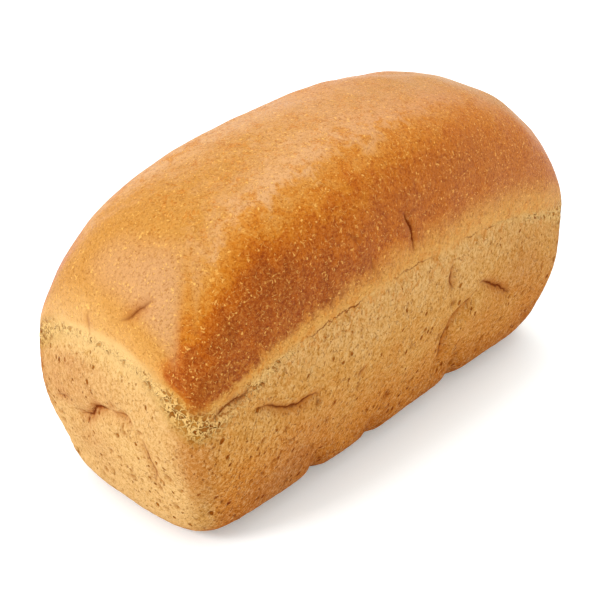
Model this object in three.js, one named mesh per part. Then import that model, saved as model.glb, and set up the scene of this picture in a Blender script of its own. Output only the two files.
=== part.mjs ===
// Tin loaf: one solid of bread, baked in an open tin and turned out.
// Its walls took the tin's shape up to the brim. There the crust tore as the dough rose, which
// leaves the shred line, and above that line the crown swelled freely into a long dome.
// Millimetres, +Z up. The loaf stands on z = 0, its length runs along X and its width along Y.
import * as THREE from "three";
import { mergeVertices } from "three/addons/utils/BufferGeometryUtils.js";

// ---- Driving dimensions ----

// The shred line, seen from above: an oblong whose long sides bow out by a small share. Softness
// is how round its corners are, from 0 for square to 1 for part of a superellipse.
const RIM_LENGTH = 210;
const RIM_WIDTH = 82.4;
const RIM_SOFTNESS = 0.048;
const SIDE_BOW = 0.038;

// The foot of the walls, and the round edge below it that ends on the flat base.
const BASE_LENGTH = 207.2;
const BASE_WIDTH = 74.7;
const BASE_SOFTNESS = 0.42;
const BASE_EDGE = 14.7;

// The walls flare from the base and stand upright at the shred line. A soft swell, fullest below
// that line, runs over it into the crown.
const WALL_FLARE = 0.51;
const SWELL = 6;
const SWELL_BELOW_RIM = 24.2;
const SWELL_HALF_HEIGHT = 28.4;

// The shred line is high along the sides and dips at the four corners.
const RIM_HEIGHT = 78.7;
const CORNER_DIP = 15.6;
const DIP_SHARPNESS = 2.7;

// The crown: a full, rounded rise over the whole top, with its ridge arched along the length. Its
// corners soften steadily from the shred line to the ridge.
const RIDGE_LENGTH = 124;
const CROWN_RISE = 28.8;
const CROWN_ARCH = 19.7;
const CROWN_TILT = -0.5;
const ROUNDNESS = 2.86;

// Slow unevenness of hand-shaped dough: waves of a few lengths, in directions a golden angle apart.
const LUMP_HEIGHT = 0.35;
const LUMP_LENGTHS = [95, 62, 41, 27];
const GOLDEN_ANGLE = Math.PI * (3 - Math.sqrt(5));

// The torn line: a shallow groove, deeper in some stretches than in others.
const SHRED_DEPTH = 0.6;
const SHRED_HALF_HEIGHT = 2.6;
const TEAR_LENGTH = 37;
const TEAR_UNEVENNESS = 0.35;

// Folds and dents fade out before the flat base.
const BASE_CLEAR = 3;

// Cells of the mesh along the length, the width and the wall, how many of these rows the wall
// gives to its round bottom edge, and the power that spaces the crown's rows evenly.
const CELLS_LONG = 46;
const CELLS_WIDE = 20;
const CELLS_HIGH = 19;
const EDGE_ROWS = 5;
const CROWN_ROW_SPREAD = 1.35;

// ---- Folds, creases and notches ----
// Each follows a short path on one wall. A path is given in the wall's own two directions:
// along and up on a wall, along and across on the crown. A negative depth stands proud.
const WALLS = {
  front: { out: [0, -1, 0], along: 0, up: 2 },
  back: { out: [0, 1, 0], along: 0, up: 2 },
  left_end: { out: [-1, 0, 0], along: 1, up: 2 },
  right_end: { out: [1, 0, 0], along: 1, up: 2 },
  crown: { out: [0, 0, 1], along: 0, up: 1 },
};
const FACING = 0.35;

const FOLDS = [
  // front wall
  { wall: "front", path: [[-81.5, 58.9], [-66.5, 52.4], [-51.3, 50.8]], depth: 1.1, half: 3.2 },
  { wall: "front", path: [[23.2, 23.5], [21.5, 38.5], [24.5, 45.3], [36.5, 49.5]], depth: 1.9, half: 3.2 },
  { wall: "front", path: [[28, 27], [30, 37], [36.5, 41.3]], depth: -1.2, half: 5 },
  { wall: "front", path: [[41, 55], [48, 52], [57, 44.8], [65, 37]], depth: 1.4, half: 3.2 },
  { wall: "front", path: [[71, 31], [78, 24], [85, 17]], depth: 1, half: 5 },
  { wall: "front", path: [[23, 70], [21.2, 65], [22.3, 60]], depth: 0.9, half: 2.6 },
  { wall: "front", path: [[-99.5, 26], [-98.7, 22]], depth: 1.2, half: 4 },
  { wall: "front", path: [[-27, 62.5], [7.5, 57.5]], depth: -0.5, half: 6 },
  // notches where the dough did not fill the foot of the tin
  { wall: "front", path: [[-47, 17], [-44.5, 4]], depth: 2.2, half: 4 },
  { wall: "front", path: [[-15.5, 15], [-14, 4]], depth: 1.5, half: 4 },
  { wall: "front", path: [[35, 20], [38, 5]], depth: 2.2, half: 4.5 },
  // left end
  { wall: "left_end", path: [[17, 39.5], [9, 43.4], [2, 51], [-11, 53.6]], depth: 1.4, half: 3.2 },
  { wall: "left_end", path: [[-11, 53.6], [-20.3, 49], [-22.8, 37], [-21.3, 27]], depth: 0.9, half: 3.2 },
  { wall: "left_end", path: [[13, 40.5], [14, 32.5]], depth: 1.3, half: 3 },
  { wall: "left_end", path: [[6, 22], [20.5, 17.5]], depth: 0.8, half: 5 },
  { wall: "left_end", path: [[-7.5, 88.3], [-13.4, 93.4], [-18.2, 98.4]], depth: 0.9, half: 2.8 },
  { wall: "left_end", path: [[-16, 86.5], [-20.5, 88.5]], depth: -0.7, half: 4 },
  // back wall
  { wall: "back", path: [[-62, 53], [-48, 47], [-30, 48]], depth: 1.2, half: 3.2 },
  { wall: "back", path: [[-8, 30], [-6, 43], [4, 50]], depth: 1.5, half: 3.2 },
  { wall: "back", path: [[38, 54], [52, 48], [60, 37]], depth: 1.2, half: 3.2 },
  { wall: "back", path: [[-24, 15], [-23, 4]], depth: 2, half: 4 },
  { wall: "back", path: [[52, 14], [53, 4]], depth: 1.6, half: 4.5 },
  // right end
  { wall: "right_end", path: [[-18, 42], [-6, 49], [8, 47]], depth: 1.3, half: 3.2 },
  { wall: "right_end", path: [[8, 47], [17, 38], [18, 27]], depth: 0.9, half: 3.2 },
  { wall: "right_end", path: [[2, 14], [3, 4]], depth: 1.3, half: 4.5 },
  // crown
  { wall: "crown", path: [[-46, -30], [-18, -28], [14, -26]], depth: 0.6, half: 5 },
  { wall: "crown", path: [[-6, -17], [30, -15]], depth: 0.6, half: 5 },
  { wall: "crown", path: [[-58, 14], [-30, 20], [4, 17]], depth: 0.6, half: 6 },
  { wall: "crown", path: [[36, 22], [62, 12]], depth: 0.7, half: 5 },
];

// ---- Form ----

const bell = (distance, half) => Math.exp(-((distance / half) ** 2));

// Point of a level outline of half sizes a and b, for a point (u, v) on the unit square's edge.
// The outline is straight along the ridge's length and rounds off towards its ends.
function outline(u, v, a, b, softness, bow) {
  const middle = Math.min(Math.abs(u) * a, RIDGE_LENGTH / 2);
  const end = a - RIDGE_LENGTH / 2;
  const along = (Math.abs(u) * a - middle) / Math.max(end, 1e-9);
  const across = Math.abs(v);
  const p = along ** ROUNDNESS;
  const q = across ** ROUNDNESS;
  const root = Math.sqrt((p + q) ** 2 - 4 * p * q * (1 - softness));
  const shrink = (2 / (p + q + root)) ** (1 / ROUNDNESS);
  const x = Math.sign(u) * (middle + end * along * shrink);
  const y = Math.sign(v) * b * across * shrink;
  return [x, y * (1 + bow * (1 - (x / a) ** 2))];
}

// How much of a corner a rim point is: 1 at the corner, 0 at mid-side.
function cornerness(x, y) {
  const along = Math.min(Math.abs(x) / (RIM_LENGTH / 2), 1);
  const across = Math.min(Math.abs(y) / (RIM_WIDTH / 2), 1);
  return (along * across) ** DIP_SHARPNESS;
}

const FULL_CORNER = cornerness(...outline(1, 1, RIM_LENGTH / 2, RIM_WIDTH / 2, RIM_SOFTNESS, 0));

function rimHeight(u, v) {
  const [x, y] = outline(u, v, RIM_LENGTH / 2, RIM_WIDTH / 2, RIM_SOFTNESS, 0);
  return RIM_HEIGHT - CORNER_DIP * Math.min(cornerness(x, y) / FULL_CORNER, 1);
}

// Half sizes and bow of the wall at a share of the rim's height.
function wallPlan(heightShare) {
  const flare = Math.sin((Math.PI / 2) * heightShare ** WALL_FLARE);
  return {
    a: (BASE_LENGTH + (RIM_LENGTH - BASE_LENGTH) * flare) / 2,
    b: (BASE_WIDTH + (RIM_WIDTH - BASE_WIDTH) * flare) / 2,
    bow: SIDE_BOW * flare,
  };
}

// How far the wall and the crown swell out at a height above the shred line.
function swellAt(aboveRim) {
  return SWELL * bell(aboveRim + SWELL_BELOW_RIM, SWELL_HALF_HEIGHT);
}

// The round bottom edge: turn is 0 on the flat base and a quarter turn at the foot of the wall.
function edgePoint(u, v, turn) {
  const z = BASE_EDGE * (1 - Math.cos(turn));
  const aboveRim = z - rimHeight(u, v);
  const inset = BASE_EDGE * (1 - Math.sin(turn)) - swellAt(aboveRim) * Math.sin(turn);
  const { a, b, bow } = wallPlan(z / RIM_HEIGHT);
  return { at: [...outline(u, v, a - inset, b - inset, BASE_SOFTNESS, bow), z], aboveRim };
}

// The wall: share is 0 at its foot and 1 at the shred line.
function wallPoint(u, v, share) {
  const heightShare = (BASE_EDGE + (RIM_HEIGHT - BASE_EDGE) * share) / RIM_HEIGHT;
  const { a, b, bow } = wallPlan(heightShare);
  const rim = rimHeight(u, v);
  const z = BASE_EDGE + (rim - BASE_EDGE) * share;
  const swell = swellAt(z - rim);
  const softness = BASE_SOFTNESS + (RIM_SOFTNESS - BASE_SOFTNESS) * share;
  return { at: [...outline(u, v, a + swell, b + swell, softness, bow), z], aboveRim: z - rim };
}

function ridgeHeight(x) {
  const lengthShare = x / (RIM_LENGTH / 2);
  return RIM_HEIGHT + CROWN_RISE + CROWN_ARCH * (1 - lengthShare ** 2) + CROWN_TILT * lengthShare;
}

// The crown: inward is 0 at the shred line and 1 on the ridge.
function crownPoint(u, v, inward) {
  const outward = 1 - inward;
  const rise = (1 - outward ** ROUNDNESS) ** (1 / ROUNDNESS);
  const softness = 1 - (1 - RIM_SOFTNESS) * outward ** ROUNDNESS;
  const rim = rimHeight(u, v);
  const ring = (swell) => {
    const a = RIDGE_LENGTH / 2 + (RIM_LENGTH / 2 + swell - RIDGE_LENGTH / 2) * outward;
    return outline(u, v, a, (RIM_WIDTH / 2 + swell) * outward, softness, SIDE_BOW);
  };
  const [plainX] = ring(0);
  const [x, y] = ring(swellAt((ridgeHeight(plainX) - rim) * rise));
  const z = rim + (ridgeHeight(x) - rim) * rise;
  return { at: [x, y, z], aboveRim: z - rim };
}

// The flat base: inward is 0 at the start of the round edge and 1 on the middle line.
function basePoint(u, v, inward) {
  const end = BASE_LENGTH / 2 - BASE_EDGE - RIDGE_LENGTH / 2;
  const a = RIDGE_LENGTH / 2 + end * (1 - inward);
  const b = (BASE_WIDTH / 2 - BASE_EDGE) * (1 - inward);
  return { at: [...outline(u, v, a, b, BASE_SOFTNESS, 0), 0], aboveRim: -RIM_HEIGHT };
}

// Takes a vertex of a box of unit cells to its place on the smooth loaf. The box's top and bottom
// are read as nested rings, the last of which is the middle line.
function loafPoint(x, y, z) {
  const halfX = CELLS_LONG / 2;
  const halfY = CELLS_WIDE / 2;
  const ring = Math.min(halfX - Math.abs(x), halfY - Math.abs(y));
  const u = x / (halfX - ring);
  const v = ring < halfY ? y / (halfY - ring) : 1;
  const row = z + CELLS_HIGH / 2;
  const quarter = Math.PI / 2;
  if (ring > 0 && row > 0) {
    return crownPoint(u, v, 1 - Math.cos(quarter * (ring / halfY) ** CROWN_ROW_SPREAD));
  }
  if (ring > 0) return basePoint(u, v, ring / halfY);
  if (row <= EDGE_ROWS) return edgePoint(u, v, (quarter * row) / EDGE_ROWS);
  return wallPoint(u, v, (row - EDGE_ROWS) / (CELLS_HIGH - EDGE_ROWS));
}

// ---- Relief ----

function lumps([x, y, z]) {
  let height = 0;
  LUMP_LENGTHS.forEach((length, i) => {
    const turn = GOLDEN_ANGLE * (i + 1);
    const phase = x * Math.cos(turn) + y * Math.sin(turn) + z * Math.cos(2 * turn);
    height += Math.sin((2 * Math.PI * phase) / length + turn) / (i + 1);
  });
  return LUMP_HEIGHT * height;
}

function shredLine([x, y], aboveRim) {
  const uneven = 1 - TEAR_UNEVENNESS + TEAR_UNEVENNESS * Math.sin((2 * Math.PI * (x - y)) / TEAR_LENGTH);
  return -SHRED_DEPTH * uneven * bell(aboveRim, SHRED_HALF_HEIGHT);
}

// Distance from (p, q) to a path, in the wall's own two directions.
function distanceToPath(path, p, q) {
  let nearest = Infinity;
  for (let i = 0; i + 1 < path.length; i += 1) {
    const [p0, q0] = path[i];
    const [dp, dq] = [path[i + 1][0] - p0, path[i + 1][1] - q0];
    const share = ((p - p0) * dp + (q - q0) * dq) / (dp * dp + dq * dq);
    const t = Math.min(Math.max(share, 0), 1);
    nearest = Math.min(nearest, Math.hypot(p - p0 - dp * t, q - q0 - dq * t));
  }
  return nearest;
}

function folds(at, normal) {
  let height = 0;
  for (const { wall, path, depth, half } of FOLDS) {
    const { out, along, up } = WALLS[wall];
    const facing = normal[0] * out[0] + normal[1] * out[1] + normal[2] * out[2];
    if (facing > FACING) height -= depth * bell(distanceToPath(path, at[along], at[up]), half);
  }
  return height;
}

// ---- Mesh ----

function loafGeometry() {
  const box = new THREE.BoxGeometry(
    CELLS_LONG, CELLS_WIDE, CELLS_HIGH, CELLS_LONG, CELLS_WIDE, CELLS_HIGH,
  );
  box.deleteAttribute("normal");
  box.deleteAttribute("uv");
  const loaf = mergeVertices(box);
  const places = loaf.attributes.position;
  const aboveRims = [];
  for (let i = 0; i < places.count; i += 1) {
    const { at, aboveRim } = loafPoint(places.getX(i), places.getY(i), places.getZ(i));
    places.setXYZ(i, ...at);
    aboveRims.push(aboveRim);
  }
  loaf.computeVertexNormals();
  const normals = loaf.attributes.normal;
  for (let i = 0; i < places.count; i += 1) {
    const at = [places.getX(i), places.getY(i), places.getZ(i)];
    const normal = [normals.getX(i), normals.getY(i), normals.getZ(i)];
    const clear = Math.min(at[2] / BASE_CLEAR, 1);
    const height = (lumps(at) + shredLine(at, aboveRims[i]) + folds(at, normal)) * clear;
    places.setXYZ(i, ...at.map((value, axis) => value + normal[axis] * height));
  }
  loaf.computeBoundingBox();
  const middle = loaf.boundingBox.getCenter(new THREE.Vector3());
  loaf.translate(-middle.x, -middle.y, 0);
  loaf.computeVertexNormals();
  return loaf;
}

const bakedCrust = new THREE.MeshStandardMaterial({ color: 0xc98d4e, roughness: 0.6, metalness: 0 });
const loaf = new THREE.Mesh(loafGeometry(), bakedCrust);
loaf.name = "loaf";

const tinLoaf = new THREE.Group();
tinLoaf.add(loaf);

export default tinLoaf;
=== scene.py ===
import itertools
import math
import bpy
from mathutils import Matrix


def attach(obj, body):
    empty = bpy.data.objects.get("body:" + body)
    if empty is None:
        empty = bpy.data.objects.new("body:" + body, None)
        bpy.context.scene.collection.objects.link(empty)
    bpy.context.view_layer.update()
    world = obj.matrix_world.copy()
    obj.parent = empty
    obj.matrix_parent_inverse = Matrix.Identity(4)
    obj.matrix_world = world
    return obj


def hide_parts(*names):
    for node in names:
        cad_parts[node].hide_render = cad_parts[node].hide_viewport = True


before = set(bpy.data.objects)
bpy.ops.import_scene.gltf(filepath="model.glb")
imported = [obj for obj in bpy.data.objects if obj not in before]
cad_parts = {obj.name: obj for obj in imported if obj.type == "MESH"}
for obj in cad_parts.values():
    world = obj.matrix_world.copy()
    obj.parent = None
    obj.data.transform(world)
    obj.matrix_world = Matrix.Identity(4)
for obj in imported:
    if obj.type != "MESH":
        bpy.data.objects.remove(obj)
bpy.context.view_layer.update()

# The looks of a tin loaf: its crust as one fine mesh round the CAD solid, on a white table in
# soft light. Sizes are in millimetres until a mesh is made, and axes are those of the frame:
# +X along the loaf, +Y across it, +Z up, with the loaf standing on z = 0.
import types

import bpy
import numpy as np
from mathutils import Vector, kdtree

MM = 0.001

# ---- Form: the same driving sizes as the solid's ----

RIM_LENGTH = 210.0
RIM_WIDTH = 82.4
RIM_SOFTNESS = 0.048
SIDE_BOW = 0.038
BASE_LENGTH = 207.2
BASE_WIDTH = 74.7
BASE_SOFTNESS = 0.42
BASE_EDGE = 14.7
WALL_FLARE = 0.51
SWELL = 6.0
SWELL_BELOW_RIM = 24.2
SWELL_HALF_HEIGHT = 28.4
RIM_HEIGHT = 78.7
CORNER_DIP = 15.6
DIP_SHARPNESS = 2.7
RIDGE_LENGTH = 124.0
CROWN_RISE = 28.8
CROWN_ARCH = 19.7
CROWN_TILT = -0.5
ROUNDNESS = 2.86

LUMP_HEIGHT = 0.35
LUMP_LENGTHS = (95.0, 62.0, 41.0, 27.0)
GOLDEN_ANGLE = math.pi * (3 - math.sqrt(5))
SHRED_DEPTH = 0.6
SHRED_HALF_HEIGHT = 2.6
TEAR_LENGTH = 37.0
TEAR_UNEVENNESS = 0.35
# Below this height the relief fades out, so that the base stays flat.
BASE_CLEAR = 3.0

# Cells of the fine mesh, about a millimetre each.
CELLS_LONG = 200
CELLS_WIDE = 90
CELLS_HIGH = 98
EDGE_ROWS = 16
CROWN_ROW_SPREAD = 1.35

# A wall's outward axis, and the two axes that its paths are given in.
WALLS = {
    "front": ((0, -1, 0), 0, 2),
    "back": ((0, 1, 0), 0, 2),
    "left_end": ((-1, 0, 0), 1, 2),
    "right_end": ((1, 0, 0), 1, 2),
    "crown": ((0, 0, 1), 0, 1),
}
# A point is on a wall when its normal leans at least this share that wall's way.
FACING = 0.35

# Broad folds, dents and foot notches: wall, path, depth, half width. The solid has them too.
FOLDS = (
    ("front", ((-81.5, 58.9), (-66.5, 52.4), (-51.3, 50.8)), 1.1, 3.2),
    ("front", ((23.2, 23.5), (21.5, 38.5), (24.5, 45.3), (36.5, 49.5)), 1.9, 3.2),
    ("front", ((28, 27), (30, 37), (36.5, 41.3)), -1.2, 5),
    ("front", ((41, 55), (48, 52), (57, 44.8), (65, 37)), 1.4, 3.2),
    ("front", ((71, 31), (78, 24), (85, 17)), 1, 5),
    ("front", ((23, 70), (21.2, 65), (22.3, 60)), 0.9, 2.6),
    ("front", ((-99.5, 26), (-98.7, 22)), 1.2, 4),
    ("front", ((-27, 62.5), (7.5, 57.5)), -0.5, 6),
    ("front", ((-47, 17), (-44.5, 4)), 2.2, 4),
    ("front", ((-15.5, 15), (-14, 4)), 1.5, 4),
    ("front", ((35, 20), (38, 5)), 2.2, 4.5),
    ("left_end", ((17, 39.5), (9, 43.4), (2, 51), (-11, 53.6)), 1.4, 3.2),
    ("left_end", ((-11, 53.6), (-20.3, 49), (-22.8, 37), (-21.3, 27)), 0.9, 3.2),
    ("left_end", ((13, 40.5), (14, 32.5)), 1.3, 3),
    ("left_end", ((6, 22), (20.5, 17.5)), 0.8, 5),
    ("left_end", ((-7.5, 88.3), (-13.4, 93.4), (-18.2, 98.4)), 0.9, 2.8),
    ("left_end", ((-16, 86.5), (-20.5, 88.5)), -0.7, 4),
    ("back", ((-62, 53), (-48, 47), (-30, 48)), 1.2, 3.2),
    ("back", ((-8, 30), (-6, 43), (4, 50)), 1.5, 3.2),
    ("back", ((38, 54), (52, 48), (60, 37)), 1.2, 3.2),
    ("back", ((-24, 15), (-23, 4)), 2, 4),
    ("back", ((52, 14), (53, 4)), 1.6, 4.5),
    ("right_end", ((-18, 42), (-6, 49), (8, 47)), 1.3, 3.2),
    ("right_end", ((8, 47), (17, 38), (18, 27)), 0.9, 3.2),
    ("right_end", ((2, 14), (3, 4)), 1.3, 4.5),
    ("crown", ((-46, -30), (-18, -28), (14, -26)), 0.6, 5),
    ("crown", ((-6, -17), (30, -15)), 0.6, 5),
    ("crown", ((-58, 14), (-30, 20), (4, 17)), 0.6, 6),
    ("crown", ((36, 22), (62, 12)), 0.7, 5),
)

# How far in mm from a crack its crease still shades the skin.
CRACK_REACH = 6.0
# Narrow cracks in the skin, too fine for the solid: wall, path, how open.
CRACKS = (
    ("front", ((-81.3, 58.8), (-76.4, 57.5), (-66.5, 52.4),
        (-61.1, 51.1), (-56.6, 52.1), (-51.1, 50.6)), 0.8),
    ("front", ((23.2, 25.3), (22.1, 34.5), (21.4, 41.4), (23.3, 45.6),
        (27.1, 48.1), (31.8, 49.6), (36.5, 49.3)), 1.1),
    ("front", ((41.4, 55), (47.9, 51.6), (57.2, 44.9), (64.6, 37.3)), 0.9),
    ("front", ((22.9, 70.1), (21.1, 65.7), (22.2, 60.7)), 0.7),
    ("front", ((-28.9, 51.7), (-32.7, 48.3)), 0.5),
    ("front", ((-100.5, 62.3), (-96.4, 64), (-92.5, 65.5),
        (-88.7, 66.8), (-85.2, 66.6), (-82.6, 68.9)), 0.7),
    ("front", ((-2.8, 100.8), (-1.7, 96.6), (0.5, 92.4), (0.5, 90.2), (1.1, 85)), 1),
    ("front", ((-23, 92), (-21.4, 84.7)), 0.35),
    ("front", ((-24.3, 98.3), (-29.6, 102), (-27.6, 98.2)), 0.35),
    ("left_end", ((17.2, 39.5), (9, 43.4), (1.8, 51.1), (-3.9, 53.2)), 1),
    ("left_end", ((-3.9, 53.2), (-11.4, 53.4), (-15.6, 52)), 0.5),
    ("left_end", ((-20, 49.2), (-21.2, 43), (-23.3, 35.8), (-21.2, 27.3)), 0.5),
    ("left_end", ((13, 40.5), (12.9, 36.3)), 0.8),
    ("left_end", ((-4.5, 58), (-6.7, 55.6)), 0.4),
    ("left_end", ((27.6, 44.2), (18.2, 47.2)), 0.4),
    ("left_end", ((-7.5, 88.3), (-10.5, 90.6), (-13.1, 93.2), (-15, 95.3), (-18, 98.3)), 0.6),
    ("left_end", ((7.9, 86.8), (5.7, 78.7)), 0.3),
    ("back", ((-64, 51), (-50, 45), (-38, 44), (-30, 46)), 0.8),
    ("back", ((-9, 29), (-7, 41), (3, 48)), 1),
    ("back", ((37, 53), (51, 47), (61, 35)), 0.8),
    ("right_end", ((-19, 39), (-7, 47), (8, 45)), 0.8),
    ("right_end", ((9, 44), (17, 36), (18, 25)), 0.5),
)

# ---- Finishes, as sRGB hex ----

WALL_STRAW = "d8a563"
WALL_GOLD = "cf9347"
WALL_TAN = "c77d2a"
FOOT_BROWN = "b0620c"
CORNER_TAN = "b7742e"
CORNER_STRAW = "c8944f"
END_STRAW = "ddb172"
END_TAN = "be8149"
RIM_GOLD = "cd9346"
TORN_CREAM = "dbb172"
TORN_GOLD = "a87423"
THREAD_CREAM = "efc47c"
# painted shade in the torn band's holes
HOLE_SHADE = "c0984c"
CROWN_GOLD = "cd9a66"
CROWN_TAN = "c58436"
CROWN_AMBER = "bd7018"
CROWN_ORANGE = "ae5807"
CROWN_BROWN = "9d4b0b"
CROWN_DARK = "90450a"
CROWN_END = "bd8338"
CROWN_PALE = "be6c1c"
# a painted highlight on the dome of the end
DOME_HIGHLIGHT = "c39161"
FLECK_CREAM = "f8be62"
GRAIN_DEEP = "cbb165"
GRAIN_RUST = "cdb273"
GRAIN_PALE = "f4d49c"
GRAIN_GOLD = "dc9c4c"
# painted shade in the pores, slits and hollows
PORE_SHADE = "b98d3c"
# painted shade beside the creases, and in the gaps of creases and hairline
CREASE_SHADE_TAN = "a85c1c"
GAP_SHADE = "a0722f"
TABLE_WHITE = "fbfbfb"

# The table's painted glow, a faint cool light of its own, as linear red, green, blue and alpha.
GLOW_COLOUR = (0.62, 0.96, 1, 1)
GLOW_STRENGTH = 0.19

# A painted highlight, a round paler patch on the crown's left end: the way it faces, the cosines
# of the angles off that way at its edge and where it is full, and how strong it is.
HIGHLIGHT_FACING = (-0.73, -0.22, 0.645)
HIGHLIGHT_EDGE = 0.92
HIGHLIGHT_FULL = 0.995
HIGHLIGHT_SHARE = 0.9

# Where the oven browned the loaf more, or less below 0, and at the last place painted shade
# by the left end's creases: place, how far round it, and how much.
BROWNING_AND_SHADE_PLACES = (
    ((-71, -32, 109), 6, -0.12),
    ((-107, -30, 76), 9, 0.5),
    ((-90, -38, 84), 16, 0.03),
    ((-62, -39, 102), 14, 0.08),
    ((-6, -43, 94), 20, -0.08),
    ((46, -33, 112), 20, 0.08),
    ((69, -47, 51), 16, 0.35),
    ((-60, -45, 31), 16, 0.3),
    ((-68, -43, 14), 14, 0.25),
    ((0, -44, 26), 18, -0.25),
    ((60, -45, 30), 12, -0.25),
    # painted shade by the left end's creases, not browning
    ((-108, 12, 32), 12, 0.35),
)


# ---- Form functions ----

def bell(distance, half):
    return np.exp(-((distance / half) ** 2))


def smooth_step(low, high, value):
    t = np.clip((value - low) / (high - low), 0, 1)
    return t * t * (3 - 2 * t)


def outline(u, v, a, b, softness, bow):
    """Points of a level outline of half sizes a and b, for points on the unit square's edge:
    straight along the ridge's length, and bowed out by a share at mid-length. The corners go from
    square at softness 0 to part of a superellipse at softness 1."""
    middle = np.minimum(np.abs(u) * a, RIDGE_LENGTH / 2)
    end = a - RIDGE_LENGTH / 2
    across = np.abs(v)
    along = (np.abs(u) * a - middle) / np.maximum(end, 1e-9)
    p, q = along ** ROUNDNESS, across ** ROUNDNESS
    shrink = (2 / (p + q + np.sqrt((p + q) ** 2 - 4 * p * q * (1 - softness)))) ** (1 / ROUNDNESS)
    x = np.sign(u) * (middle + end * along * shrink)
    y = np.sign(v) * b * across * shrink
    return x, y * (1 + bow * (1 - (x / a) ** 2))


def cornerness(x, y):
    """From 0 half-way along a side to 1 at the corner of the rim's box."""
    along = np.minimum(np.abs(x) / (RIM_LENGTH / 2), 1)
    across = np.minimum(np.abs(y) / (RIM_WIDTH / 2), 1)
    return (along * across) ** DIP_SHARPNESS


def rim_height(u, v):
    one = np.ones(1)
    corner = outline(one, one, RIM_LENGTH / 2, RIM_WIDTH / 2, RIM_SOFTNESS, 0)
    x, y = outline(u, v, RIM_LENGTH / 2, RIM_WIDTH / 2, RIM_SOFTNESS, 0)
    return RIM_HEIGHT - CORNER_DIP * np.minimum(cornerness(x, y) / cornerness(*corner), 1)


def swell_at(above):
    """How far the wall and the crown swell out at a height above the shred line."""
    return SWELL * bell(above + SWELL_BELOW_RIM, SWELL_HALF_HEIGHT)


def wall_plan(height_share):
    """Half sizes and side bow of the wall's outline at a share of the rim's height."""
    flare = np.sin(math.pi / 2 * height_share ** WALL_FLARE)
    a = (BASE_LENGTH + (RIM_LENGTH - BASE_LENGTH) * flare) / 2
    b = (BASE_WIDTH + (RIM_WIDTH - BASE_WIDTH) * flare) / 2
    return a, b, SIDE_BOW * flare


def edge_points(u, v, turn):
    """The round bottom edge, from the flat base at turn 0 to the foot of the wall."""
    z = BASE_EDGE * (1 - np.cos(turn))
    above = z - rim_height(u, v)
    inset = BASE_EDGE * (1 - np.sin(turn)) - swell_at(above) * np.sin(turn)
    a, b, bow = wall_plan(z / RIM_HEIGHT)
    x, y = outline(u, v, a - inset, b - inset, BASE_SOFTNESS, bow)
    return np.column_stack([x, y, z]), above


def wall_points(u, v, share):
    """The wall, from its foot at share 0 to the shred line at share 1."""
    a, b, bow = wall_plan((BASE_EDGE + (RIM_HEIGHT - BASE_EDGE) * share) / RIM_HEIGHT)
    rim = rim_height(u, v)
    z = BASE_EDGE + (rim - BASE_EDGE) * share
    swell = swell_at(z - rim)
    softness = BASE_SOFTNESS + (RIM_SOFTNESS - BASE_SOFTNESS) * share
    x, y = outline(u, v, a + swell, b + swell, softness, bow)
    return np.column_stack([x, y, z]), z - rim


def ridge_height(x):
    length_share = x / (RIM_LENGTH / 2)
    arch = CROWN_ARCH * (1 - length_share ** 2)
    return RIM_HEIGHT + CROWN_RISE + arch + CROWN_TILT * length_share


def crown_points(u, v, inward):
    """The crown, from the shred line at inward 0 to the ridge at inward 1."""
    outward = 1 - inward
    rise = (1 - outward ** ROUNDNESS) ** (1 / ROUNDNESS)
    softness = 1 - (1 - RIM_SOFTNESS) * outward ** ROUNDNESS
    rim = rim_height(u, v)

    def ring(swell):
        a = RIDGE_LENGTH / 2 + (RIM_LENGTH / 2 + swell - RIDGE_LENGTH / 2) * outward
        return outline(u, v, a, (RIM_WIDTH / 2 + swell) * outward, softness, SIDE_BOW)

    plain_x, _ = ring(0.0)
    x, y = ring(swell_at((ridge_height(plain_x) - rim) * rise))
    z = rim + (ridge_height(x) - rim) * rise
    return np.column_stack([x, y, z]), z - rim


def base_points(u, v, inward):
    """The flat base, from its outline at inward 0 to its middle line at inward 1."""
    end = BASE_LENGTH / 2 - BASE_EDGE - RIDGE_LENGTH / 2
    a = RIDGE_LENGTH / 2 + end * (1 - inward)
    x, y = outline(u, v, a, (BASE_WIDTH / 2 - BASE_EDGE) * (1 - inward), BASE_SOFTNESS, 0)
    return np.column_stack([x, y, np.zeros(len(x))]), np.full(len(x), -RIM_HEIGHT)


def box_grid():
    """Cells of a box's surface: the grid place of each vertex, and the quads facing out."""
    sizes = (CELLS_LONG, CELLS_WIDE, CELLS_HIGH)
    place = np.indices([n + 1 for n in sizes])
    on_surface = np.zeros(place.shape[1:], bool)
    for axis, n in enumerate(sizes):
        on_surface |= (place[axis] == 0) | (place[axis] == n)
    number = np.full(on_surface.shape, -1)
    number[on_surface] = np.arange(on_surface.sum())
    quads = []
    for axis in range(3):
        for high in (False, True):
            face = np.take(number, sizes[axis] if high else 0, axis=axis)
            corners = [face[:-1, :-1], face[1:, :-1], face[1:, 1:], face[:-1, 1:]]
            outward = high != (axis == 1)
            corners = corners if outward else corners[::-1]
            quads.append(np.stack([c.ravel() for c in corners], axis=1))
    return np.stack([p[on_surface] for p in place], axis=1), np.concatenate(quads)


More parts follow.
